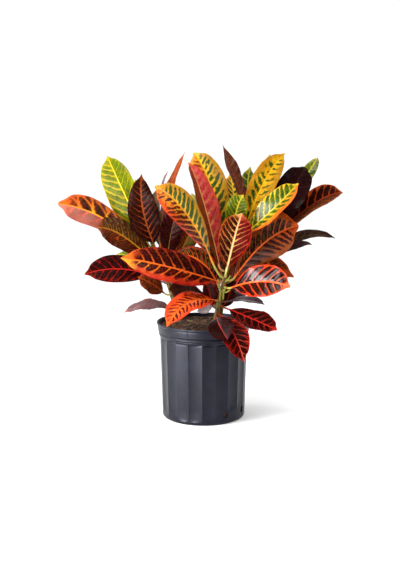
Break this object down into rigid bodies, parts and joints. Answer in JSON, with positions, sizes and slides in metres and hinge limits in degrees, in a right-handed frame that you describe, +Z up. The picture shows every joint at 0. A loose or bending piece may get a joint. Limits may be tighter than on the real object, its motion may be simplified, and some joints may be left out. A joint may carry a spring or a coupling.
{
  "type": "potted croton plant",
  "caption": "Bushy croton with broad, veined, lime, gold, orange, red and near-black leaves on upright woody stems, standing in a round fluted nursery pot filled with potting mix.",
  "frame": {"origin": "centre of the pot's flat underside, on the floor that it stands on", "axes": "+Z up along the pot's axis, -Y towards the side that faces the camera, +X to that camera's right"},
  "size_m": [0.7084, 0.4125, 0.6773],
  "materials": {
    "pot": "satin moulded black plastic with a faint blue cast and a fine mottled texture",
    "potting_mix": "crumbly bark and peat, with chips and thin pale roots on top",
    "bark": "young olive-brown stem bark with faint rings of old leaf scars",
    "lime_leaf": "glossy lime leaf with dark green cells and a yellow midrib",
    "gold_leaf": "glossy golden leaf with dark green cells between yellow veins",
    "orange_leaf": "glossy orange leaf with small dark spots",
    "red_leaf": "glossy dark leaf with broad orange-red veins and margin",
    "maroon_leaf": "glossy near-black leaf with thin crimson veins",
    "dark_leaf": "dull purple-black leaf with faint veins",
    "olive_leaf": "brown-olive leaf with orange veins"
  },
  "bodies": {
    "root": {"pot": "pot", "potting_mix": "potting_mix", "stem_right": "bark", "stem_left": "bark", "stem_front": "bark", "leaf_front_01": "dark_leaf", "leaf_front_02": "maroon_leaf", "leaf_front_03": "maroon_leaf", "leaf_front_04": "dark_leaf", "leaf_front_05": "dark_leaf", "leaf_front_06": "orange_leaf", "leaf_front_07": "red_leaf", "leaf_front_08": "red_leaf", "leaf_front_09": "dark_leaf", "leaf_front_10": "red_leaf", "leaf_front_11": "olive_leaf", "leaf_front_12": "red_leaf", "leaf_front_13": "red_leaf", "leaf_front_14": "gold_leaf", "leaf_front_15": "gold_leaf", "leaf_front_16": "gold_leaf", "leaf_front_17": "lime_leaf", "leaf_front_18": "lime_leaf", "leaf_front_19": "dark_leaf", "leaf_front_20": "dark_leaf", "leaf_front_21": "maroon_leaf", "leaf_back_01": "red_leaf", "leaf_back_02": "lime_leaf", "leaf_back_03": "gold_leaf", "leaf_left_01": "maroon_leaf", "leaf_left_02": "olive_leaf", "leaf_left_03": "maroon_leaf", "leaf_left_04": "lime_leaf", "leaf_left_05": "maroon_leaf", "leaf_left_06": "olive_leaf", "leaf_left_07": "orange_leaf", "leaf_left_08": "maroon_leaf", "leaf_left_09": "dark_leaf", "leaf_left_10": "olive_leaf", "leaf_left_11": "olive_leaf", "leaf_left_12": "lime_leaf", "leaf_left_13": "maroon_leaf", "leaf_back_04": "maroon_leaf", "leaf_back_05": "red_leaf", "leaf_back_06": "red_leaf", "leaf_back_07": "orange_leaf", "leaf_back_08": "lime_leaf", "leaf_right_01": "dark_leaf", "leaf_right_02": "lime_leaf", "leaf_right_03": "maroon_leaf", "leaf_right_04": "dark_leaf", "leaf_right_05": "dark_leaf", "leaf_right_06": "maroon_leaf", "leaf_right_07": "lime_leaf", "leaf_right_08": "orange_leaf", "leaf_right_09": "lime_leaf", "leaf_back_09": "maroon_leaf", "leaf_back_10": "red_leaf", "leaf_back_11": "orange_leaf", "leaf_back_12": "gold_leaf"}
  },
  "joints": []
}
